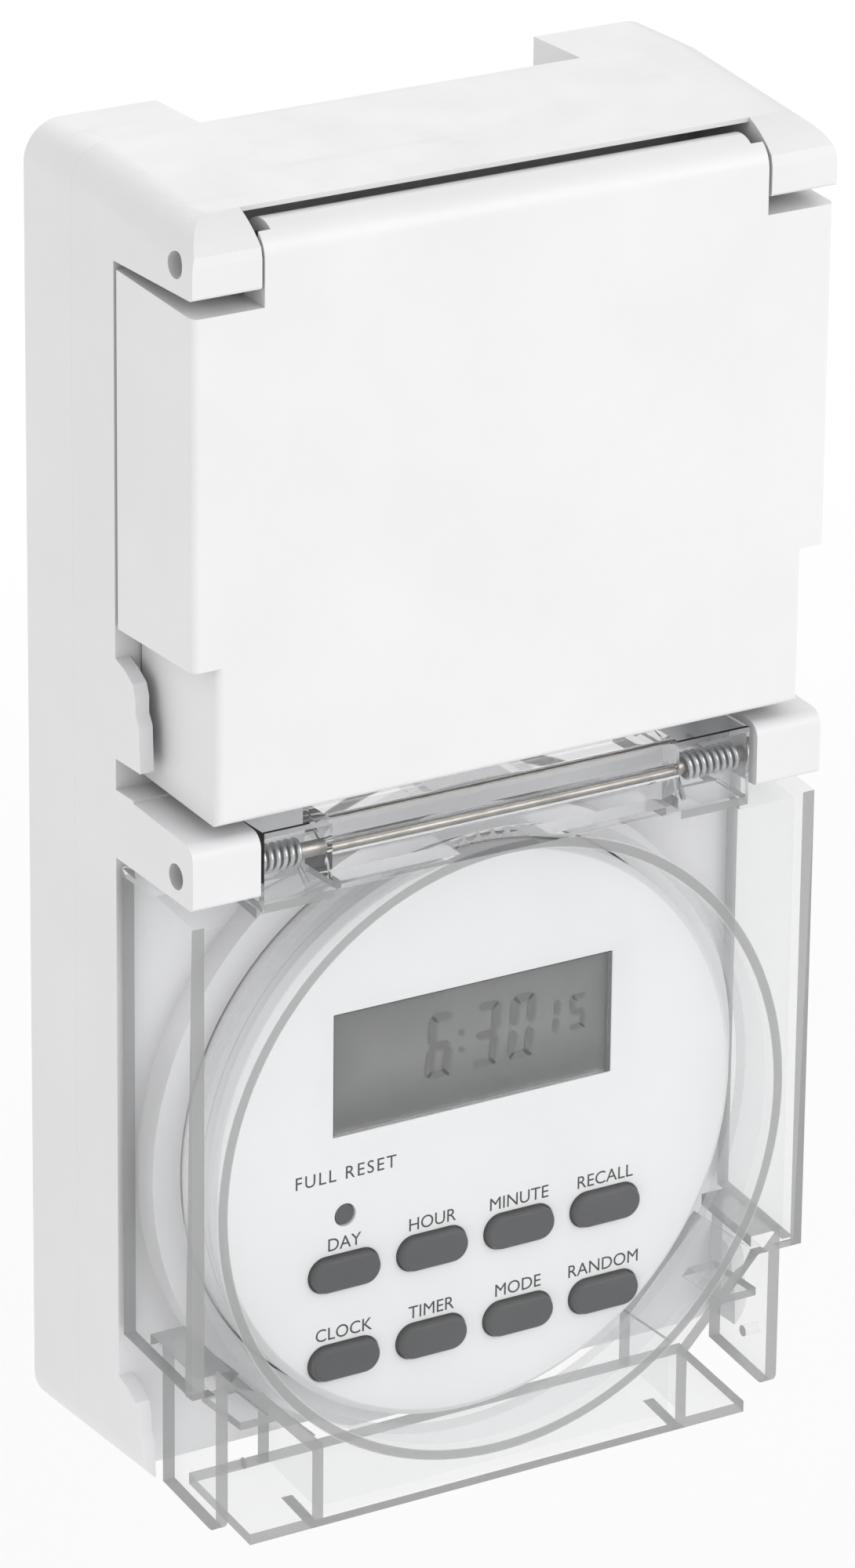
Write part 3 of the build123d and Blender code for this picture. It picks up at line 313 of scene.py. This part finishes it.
def display(name, low, high):
    """Grey liquid crystal panel, darker towards its edges, with fine cells."""
    mat, tree, out, vector = new_tree(name)
    shader = tree.nodes.new("ShaderNodeBsdfPrincipled")
    split = tree.nodes.new("ShaderNodeSeparateXYZ")
    tree.links.new(vector, split.inputs[0])
    centre = (low + high) / 2
    half_w, half_h = (high.x - low.x) / 2, (high.z - low.z) / 2
    across = maths(tree, "ABSOLUTE", maths(tree, "SUBTRACT", split.outputs["X"], centre.x))
    height = maths(tree, "SUBTRACT", split.outputs["Z"], centre.z)
    side = remap(tree, across, half_w * 0.7, half_w * 0.95, 0.0, 0.55)
    bottom = remap(tree, height, -half_h * 0.85, -half_h * 0.05, 1.0, 0.0)
    top = remap(tree, height, half_h * 0.1, half_h * 0.85, 0.0, 0.45)
    edge = maths(tree, "MAXIMUM", side, maths(tree, "MAXIMUM", bottom, top))
    cloud = remap(tree, noise(tree, vector, 130.0, 3.0), 0.3, 0.7, -0.06, 0.06)
    edge = maths(tree, "ADD", edge, cloud)
    colour = blend(tree, edge, PANEL_MIDDLE, PANEL_EDGE)
    tree.links.new(colour, shader.inputs["Base Color"])
    shader.inputs["Roughness"].default_value = 0.4
    cells = noise(tree, vector, CELLS, 1.0)
    tree.links.new(bump(tree, cells, CELL_DEPTH, 0.3), shader.inputs["Normal"])
    tree.links.new(shader.outputs[0], out.inputs["Surface"])
    return mat


WHITE = (0.80, 0.80, 0.81)
# Painted grey shade for the clear cover's edge faces and ring band, and the share of the see-through it
# replaces.
EDGE_SHADE_GREY = (0.32, 0.322, 0.324)
EDGE_SHADE_SHARE = 0.82
CLEAR_TINT = (0.98, 0.981, 0.982)
ACRYLIC_IOR = 1.49


def ring_of_cover():
    """Centre, inner and outer radius and front of the cover's ring, from the node's own mesh."""
    low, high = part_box("clear_cover")
    case_low, case_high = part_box("module_case")
    centre_x = (case_low.x + case_high.x) / 2
    centre_z = case_high.z - (case_high.x - case_low.x) / 2
    radii = Counter(
        round(math.hypot(v.co.x - centre_x, v.co.z - centre_z) / MM, 1)
        for v in nodes["clear_cover"].data.vertices
    )
    inner, outer = sorted(radius for radius, count in radii.most_common(2))
    return centre_x, centre_z, inner * MM, outer * MM, low.y


def block_of_cover():
    """Middle height and half height of the cover's hinge block, from its pin."""
    pin_low, pin_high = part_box("cover_hinge_pin")
    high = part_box("clear_cover")[1]
    middle = (pin_low.z + pin_high.z) / 2
    return middle, high.z - middle


white = moulded("white_plastic", WHITE, 0.42)
white_lid = moulded("lid_plastic", (0.81, 0.81, 0.82), 0.36, grain=2600.0)
socket_white = moulded("socket_plastic", (0.78, 0.78, 0.77), 0.34, shade=0.35)
face_white = moulded("face_plastic", (0.87, 0.873, 0.88), 0.46, grain=4200.0, shade=0.18)
key_grey = moulded("key_plastic", (0.055, 0.056, 0.059), 0.5, grain=2400.0, mottle=0.08)
rubber = moulded("black_rubber", (0.028, 0.028, 0.03), 0.62, grain=1800.0, grain_depth=0.03 * MM)
grey_rubber = moulded("grey_rubber", (0.22, 0.225, 0.23), 0.65, grain=1800.0)
pink_rubber = moulded("layered_rubber", (0.5, 0.33, 0.36), 0.55)
green_board = moulded("green_board", (0.04, 0.2, 0.08), 0.3, mottle=0.2)
chip_black = moulded("chip_package", (0.03, 0.03, 0.033), 0.55)
relay_blue = moulded("relay_case", (0.05, 0.1, 0.28), 0.3)
capacitor_red = moulded("capacitor_case", (0.35, 0.06, 0.04), 0.28)
steel = metal("drawn_steel", (0.56, 0.57, 0.58), 0.24)
strip_steel = metal("pressed_strip", (0.62, 0.61, 0.59), 0.3)
pin_steel = metal("tarnished_pin", (0.36, 0.34, 0.31), 0.4)
dark_steel = metal("blackened_screw", (0.1, 0.1, 0.105), 0.38)
nickel = metal("nickel_pin", (0.7, 0.69, 0.66), 0.18, ALONG_Y)
brass = metal("sprung_brass", (0.72, 0.53, 0.26), 0.3)
insulation = {
    "wire_line_in": moulded("brown_insulation", (0.12, 0.05, 0.025), 0.45),
    "wire_switched": moulded("black_insulation", (0.03, 0.03, 0.03), 0.45),
    "wire_neutral": moulded("blue_insulation", (0.04, 0.11, 0.4), 0.45),
    "wire_module": moulded("grey_insulation", (0.3, 0.3, 0.31), 0.45),
}
clear_plastic = clear(
    "clear_plastic",
    (0.95, 0.953, 0.957),
    0.015,
    ACRYLIC_IOR,
    ring=ring_of_cover(),
    block=block_of_cover(),
    see_through=0.985,
)
# The two edge materials paint grey shade on the cover's edge faces, standing for the darkening that
# refraction through the plate's depth gives; far edges on the ring get a lighter grey.
clear_edge_shade = clear(
    "clear_edge_shade", EDGE_SHADE_GREY, 0.2, ACRYLIC_IOR, see_through=1.0 - EDGE_SHADE_SHARE, opaque=1.0
)
clear_far_edge_shade = clear(
    "clear_far_edge_shade", (0.6, 0.602, 0.605), 0.2, ACRYLIC_IOR, see_through=0.6, opaque=1.0
)
window_clear = clear("display_window", (0.9, 0.905, 0.9), 0.05, 1.46)
print_grey = moulded("label_print", (0.022, 0.022, 0.024), 0.6, mottle=0.25, shade=0.0)

finish_of = {
    "back_shell": white,
    "front_shell": white,
    "socket_lid": white_lid,
    "lid_seal": grey_rubber,
    "shell_seal": rubber,
    "case_screws": dark_steel,
    "lid_hinge_pin": steel,
    "cover_hinge_pin": pin_steel,
    "lid_spring_left": steel,
    "lid_spring_right": steel,
    "cover_spring_left": steel,
    "cover_spring_right": steel,
    "socket_insert": socket_white,
    "socket_contacts": brass,
    "socket_earth_clip": strip_steel,
    "plug_body": socket_white,
    "plug_pins": nickel,
    "plug_earth_strips": strip_steel,
    "plug_seal": rubber,
    "module_case": face_white,
    "module_gasket": rubber,
    "module_face": face_white,
    "module_screws": dark_steel,
    "lcd_window": window_clear,
    "lcd_connector": pink_rubber,
    "key_mat": grey_rubber,
    "control_board": green_board,
    "control_chip": chip_black,
    "backup_battery": strip_steel,
    "power_board": green_board,
    "relay": relay_blue,
    "supply_capacitor": capacitor_red,
    "neutral_link": brass,
    "clear_cover": clear_plastic,
    "reset_button": key_grey,
    **insulation,
}
for node in nodes:
    if node.startswith("key_") and node != "key_mat":
        finish_of[node] = key_grey
finish_of["lcd_panel"] = display("display_panel", *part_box("lcd_window"))

bodies = frame["record"]["behaviour"]["bodies"]
body_of = {node: body for body, members in bodies.items() for node in members}


def paint(obj, mat):
    """Give an object one material in place of any it has."""
    obj.data.materials.clear()
    obj.data.materials.append(mat)


def add_piece(name, mesh, body):
    """A visible piece made from a mesh, moving with a body."""
    piece = bpy.data.objects.new(name, mesh)
    bpy.context.scene.collection.objects.link(piece)
    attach(piece, body)
    return piece


for node, mat in finish_of.items():
    paint(nodes[node], mat)

# ------------------------------------------------------------------ detailed meshes
EDGE_DEPTH = 3.0 * MM
WALL_SPREAD = 5.0 * MM
FLAT = 0.02 * MM
CUT_TOLERANCE = 0.001 * MM
WELD = 0.002 * MM
COPLANAR = math.radians(0.3)
CREASE = math.radians(32.0)
RIM_SEGMENTS = 5
NORMAL_WEIGHT = 80
# How far along Y the normal of a wall's side may lean, and how far that of a front face has to.
SIDEWAYS, FORWARDS = 0.02, 0.99


def split_over_walls(work, front):
    """Cut the flat front along every wall that stands behind it, so each wall's end is its own face."""
    planes = {}
    for face in work.faces:
        if abs(face.normal.y) < SIDEWAYS:
            spread = max((a.co - b.co).xz.length for a in face.verts for b in face.verts)
            if spread > WALL_SPREAD:
                offset = face.normal.dot(face.calc_center_median())
                key = (round(face.normal.x, 2), round(face.normal.z, 2), round(offset / MM, 1))
                planes[key] = (face.calc_center_median(), face.normal.copy())
    for point, normal in planes.values():
        faces = [
            f for f in work.faces if f.normal.y < -FORWARDS and f.verts[0].co.y < front + FLAT
        ]
        edges = dict.fromkeys(e for f in faces for e in f.edges)
        verts = dict.fromkeys(v for f in faces for v in f.verts)
        bmesh.ops.bisect_plane(
            work,
            geom=[*faces, *edges, *verts],
            dist=CUT_TOLERANCE,
            plane_co=point,
            plane_no=normal,
        )


# Material indices of the clear cover's edge faces, which carry painted grey shade.
NEAR_EDGE, FAR_EDGE = 1, 2


def cover_edge_shade(work, front):
    """Give the faces with deep plastic behind them an edge material of painted grey shade, outside the
    hinge block.
    """
    centre_x, centre_z, inner, outer, _ = ring_of_cover()
    middle_z, half_h = block_of_cover()
    tree = BVHTree.FromBMesh(work)
    for face in work.faces:
        centre = face.calc_center_median()
        if abs(centre.z - middle_z) < half_h + FLAT:
            continue
        place, _, _, depth = tree.ray_cast(centre - face.normal * FLAT, -face.normal)
        if place is not None and depth > EDGE_DEPTH:
            radius = math.hypot(centre.x - centre_x, centre.z - centre_z)
            on_ring = inner - FLAT < radius < outer + FLAT and centre.y > front + EDGE_DEPTH
            face.material_index = FAR_EDGE if on_ring else NEAR_EDGE


def creases(work):
    """Edges between two faces that meet at more than the crease angle."""
    return [e for e in work.edges if len(e.link_faces) == 2 and e.calc_face_angle(0.0) > CREASE]


def round_edges(work, edges, offset, segments):
    """Round edges over by an offset."""
    bmesh.ops.bevel(
        work,
        geom=edges,
        offset=offset,
        offset_type="OFFSET",
        segments=segments,
        profile=0.5,
        affect="EDGES",
        clamp_overlap=True,
    )


def refined(node, width, segments=3, rim=0.0):
    """The node's own shape as a clean mesh with its edges rounded, standing for the node."""
    mesh = bpy.data.meshes.new(node + "_moulding")
    work = bmesh.new()
    work.from_mesh(nodes[node].data)
    bmesh.ops.remove_doubles(work, verts=work.verts, dist=WELD)
    bmesh.ops.dissolve_limit(work, angle_limit=COPLANAR, verts=work.verts, edges=work.edges)
    front = min(v.co.y for v in work.verts)
    if rim > 0:
        rim_edges = [
            e
            for e in creases(work)
            if max(abs(v.co.y - front) for v in e.verts) < FLAT and e.calc_length() > rim
        ]
        round_edges(work, rim_edges, rim, RIM_SEGMENTS)
    round_edges(work, creases(work), width, segments)
    if node == "clear_cover":
        split_over_walls(work, front)
    bmesh.ops.triangulate(work, faces=[f for f in work.faces if len(f.verts) > 4])
    if node == "clear_cover":
        cover_edge_shade(work, front)
    for face in work.faces:
        face.smooth = True
    for edge in work.edges:
        edge.smooth = edge.calc_face_angle(0.0) < CREASE
    mesh.materials.append(finish_of[node])
    if node == "clear_cover":
        mesh.materials.append(clear_edge_shade)
        mesh.materials.append(clear_far_edge_shade)
    work.to_mesh(mesh)
    work.free()
    if "custom_normal" in mesh.attributes:
        mesh.attributes.remove(mesh.attributes["custom_normal"])
    piece = add_piece(node + "_moulding", mesh, body_of[node])
    weighted = piece.modifiers.new("weighted", "WEIGHTED_NORMAL")
    weighted.keep_sharp = True
    weighted.weight = NORMAL_WEIGHT
    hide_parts(node)


SHELL_EDGE = 0.35 * MM
FINE_EDGE = 0.15 * MM
PLUG_EDGE = 0.3 * MM
refined("front_shell", SHELL_EDGE, rim=0.9 * MM)
refined("back_shell", SHELL_EDGE)
refined("socket_lid", SHELL_EDGE)
refined("clear_cover", FINE_EDGE, 2)
refined("module_face", FINE_EDGE, 2)
refined("plug_body", PLUG_EDGE, 2)

# ------------------------------------------------------------------ printed labels
PRINT_T = 0.02 * MM
PRINT_LIFT = 0.01 * MM
LABEL_SIZE = 2.45 * MM
LABEL_RISE = 3.1 * MM
RESET_RISE = 4.9 * MM
RESET_SPACING = 1.2
UPRIGHT = Matrix.Rotation(math.radians(90), 4, "X")
print_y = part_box("module_face")[0].y - PRINT_LIFT


def label(name, words, node, rise, spacing=1.0):
    """One printed word in a plain font, centred over a node, its baseline a rise above the middle."""
    low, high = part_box(node)
    middle = (low + high) / 2
    text = bpy.data.curves.new(name, "FONT")
    text.body = words
    text.align_x = "CENTER"
    text.size = 1.0
    text.extrude = PRINT_T / LABEL_SIZE / 2
    text.resolution_u = 4
    text.space_character = spacing
    holder = bpy.data.objects.new(name + "_curve", text)
    bpy.context.scene.collection.objects.link(holder)
    bpy.context.view_layer.update()
    mesh = bpy.data.meshes.new_from_object(holder)
    bpy.data.objects.remove(holder)
    place = Matrix.Translation((middle.x, print_y, middle.z + rise))
    mesh.transform(place @ UPRIGHT @ Matrix.Scale(LABEL_SIZE, 4))
    paint(add_piece(name, mesh, "housing"), print_grey)


LABELS = {
    "key_day": "DAY",
    "key_hour": "HOUR",
    "key_minute": "MINUTE",
    "key_recall": "RECALL",
    "key_clock": "CLOCK",
    "key_program": "TIMER",
    "key_mode": "MODE",
    "key_random": "RANDOM",
}
for node, words in LABELS.items():
    label(node.replace("key", "label"), words, node, LABEL_RISE)
label("label_reset", "FULL RESET", "reset_button", RESET_RISE, RESET_SPACING)

# ------------------------------------------------------------------ display digits
SEGMENTS = {"0": "abcdef", "1": "bc", "3": "abgcd", "5": "afgcd", "6": "afgedc"}
SEGMENT_GAP = 0.22
SLANT = 0.08
# Width, height and bar thickness of a digit.
LARGE = (3.6 * MM, 8.8 * MM, 1.1 * MM)
SMALL = (2.4 * MM, 4.8 * MM, 0.7 * MM)
SMALL_RISE = 0.55
DIGITS_BASE = 4.2 * MM
# Each digit, its distance from the window's left edge, and its size.
TIME = (
    ("6", 13.6 * MM, LARGE),
    ("3", 20.4 * MM, LARGE),
    ("0", 25.6 * MM, LARGE),
    ("1", 30.6 * MM, SMALL),
    ("5", 34.6 * MM, SMALL),
)
COLON_X = 18.9 * MM
COLON_HEIGHTS = (0.36, 0.62)
DOT_HALF = 0.35 * MM
INK_LIFT, SHADOW_LIFT = 0.08 * MM, 0.03 * MM
SHADOW_SHIFT = (0.35 * MM, -0.3 * MM)
panel_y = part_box("lcd_panel")[0].y
window_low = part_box("lcd_window")[0]


def segment_outlines(digit, x, z, w, h, t):
    """The lit segments of a digit as six-sided outlines, x and z its lower left corner."""
    gap = t * SEGMENT_GAP
    mid = z + h / 2
    half = t / 2
    runs = {
        "a": ((x + gap, z + h - half), (x + w - gap, z + h - half)),
        "g": ((x + gap, mid), (x + w - gap, mid)),
        "d": ((x + gap, z + half), (x + w - gap, z + half)),
        "f": ((x + half, mid + gap), (x + half, z + h - gap)),
        "b": ((x + w - half, mid + gap), (x + w - half, z + h - gap)),
        "e": ((x + half, z + gap), (x + half, mid - gap)),
        "c": ((x + w - half, z + gap), (x + w - half, mid - gap)),
    }
    for key in SEGMENTS[digit]:
        (x0, z0), (x1, z1) = runs[key]
        along = Vector((x1 - x0, z1 - z0)).normalized()
        across = Vector((-along.y, along.x)) * half
        a, b = Vector((x0, z0)), Vector((x1, z1))
        points = [
            a,
            a + along * half + across,
            b - along * half + across,
            b,
            b - along * half - across,
            a + along * half - across,
        ]
        yield [(p.x + (p.y - z) * SLANT, p.y) for p in points]


def digits(name, mat, lift, shift_x=0.0, shift_z=0.0):
    """The time in front of the panel: hour, colon and minutes large, seconds small."""
    base = window_low.z + DIGITS_BASE
    outlines = []
    for digit, offset, (w, h, t) in TIME:
        rise = (LARGE[1] - h) * SMALL_RISE
        outlines.extend(segment_outlines(digit, window_low.x + offset, base + rise, w, h, t))
    for share in COLON_HEIGHTS:
        x, z = window_low.x + COLON_X, base + LARGE[1] * share
        outlines.append([(x + i * DOT_HALF, z + j * DOT_HALF) for i, j in CORNERS])
    mesh = bpy.data.meshes.new(name)
    work = bmesh.new()
    for outline in outlines:
        places = [(x + shift_x, panel_y - lift, z + shift_z) for x, z in outline]
        work.faces.new([work.verts.new(place) for place in places])
    bmesh.ops.recalc_face_normals(work, faces=work.faces)
    work.to_mesh(mesh)
    work.free()
    paint(add_piece(name, mesh, "housing"), mat)


digit_ink = moulded("digit_ink", (0.125, 0.125, 0.125), 0.5, shade=0.0)
digit_shadow = moulded("digit_shadow", (0.17, 0.17, 0.17), 0.5, shade=0.0)
digits("lcd_digits", digit_ink, INK_LIFT)
digits("lcd_digit_shadow", digit_shadow, SHADOW_LIFT, *SHADOW_SHIFT)

# ------------------------------------------------------------------ floor, light and camera
low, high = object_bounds()
centre = (low + high) / 2


def floor_material():
    """Matt paper, very slightly uneven in tone."""
    mat, tree, out, vector = new_tree("studio_paper")
    shader = tree.nodes.new("ShaderNodeBsdfPrincipled")
    shader.inputs["Roughness"].default_value = 0.9
    shader.inputs["IOR"].default_value = 1.2
    cloud = remap(tree, noise(tree, vector, 3.0, 2.0), 0.3, 0.7, 0.0, 1.0)
    tree.links.new(
        blend(tree, cloud, (0.93, 0.93, 0.93), (0.95, 0.95, 0.95)), shader.inputs["Base Color"]
    )
    tree.links.new(shader.outputs[0], out.inputs["Surface"])
    return mat


FLOOR_DROP = 0.16
FLOOR_HALF = 12.0
floor_z = low.z - FLOOR_DROP
floor_corners = [(i * FLOOR_HALF, j * FLOOR_HALF, floor_z) for i, j in CORNERS]
floor_mesh = bpy.data.meshes.new("floor")
floor_mesh.from_pydata(floor_corners, [], [(0, 1, 2, 3)])
floor = bpy.data.objects.new("floor", floor_mesh)
bpy.context.scene.collection.objects.link(floor)
paint(floor, floor_material())


def area_light(name, position, size, power, aim):
    """Soft rectangular light that faces a point."""
    data = bpy.data.lights.new(name, "AREA")
    data.shape = "RECTANGLE"
    data.size, data.size_y = size
    data.energy = power
    obj = bpy.data.objects.new(name, data)
    obj.location = position
    obj.rotation_mode = "QUATERNION"
    obj.rotation_quaternion = (Vector(aim) - Vector(position)).to_track_quat("-Z", "Y")
    bpy.context.scene.collection.objects.link(obj)


area_light("key_light", (0.75, -1.45, 0.75), (1.2, 1.0), 10.0, centre)
area_light("fill_light", (-1.5, -0.5, 0.5), (1.0, 1.2), 2.5, centre)
area_light("floor_light", (0.5, 1.6, 0.9), (1.4, 1.0), 7.0, (0.3, 1.1, floor_z))

WORLD_STRENGTH = 0.78
CLEAR_BOUNCES = 48
BOUNCES = 20
world = bpy.data.worlds.new("studio")
world.use_nodes = True
background = world.node_tree.nodes["Background"]
background.inputs["Color"].default_value = (1.0, 1.0, 1.0, 1.0)
background.inputs["Strength"].default_value = WORLD_STRENGTH
scene = bpy.context.scene
scene.world = world
scene.view_settings.view_transform = "Standard"
scene.cycles.transparent_max_bounces = CLEAR_BOUNCES
scene.cycles.transmission_bounces = BOUNCES
scene.cycles.max_bounces = BOUNCES

AZIMUTH = math.radians(-31.94)
ELEVATION = math.radians(21.75)
ROLL = math.radians(0.6)
DISTANCE = 0.9699
LENS = 184.9
SENSOR = 36.0
CLIP_START, CLIP_END = 0.05, 50.0
# The camera's aim on the front: how far left of the middle, and above the cover's lowest edge.
AIM_LEFT = 12.34 * MM
AIM_RISE = 96.5 * MM
back = Vector(
    (
        math.sin(AZIMUTH) * math.cos(ELEVATION),
        -math.cos(AZIMUTH) * math.cos(ELEVATION),
        math.sin(ELEVATION),
    )
)
target = Vector((centre.x - AIM_LEFT, cad_low.y, cad_low.z + AIM_RISE))
camera_data = bpy.data.cameras.new("camera")
camera_data.lens = LENS
camera_data.sensor_width = SENSOR
camera_data.clip_start = CLIP_START
camera_data.clip_end = CLIP_END
camera = bpy.data.objects.new("camera", camera_data)
camera.rotation_mode = "QUATERNION"
camera.location = target + back * DISTANCE
camera.rotation_quaternion = (
    (-back).to_track_quat("-Z", "Y") @ Matrix.Rotation(ROLL, 3, "Z").to_quaternion()
)
scene.collection.objects.link(camera)
scene.camera = camera
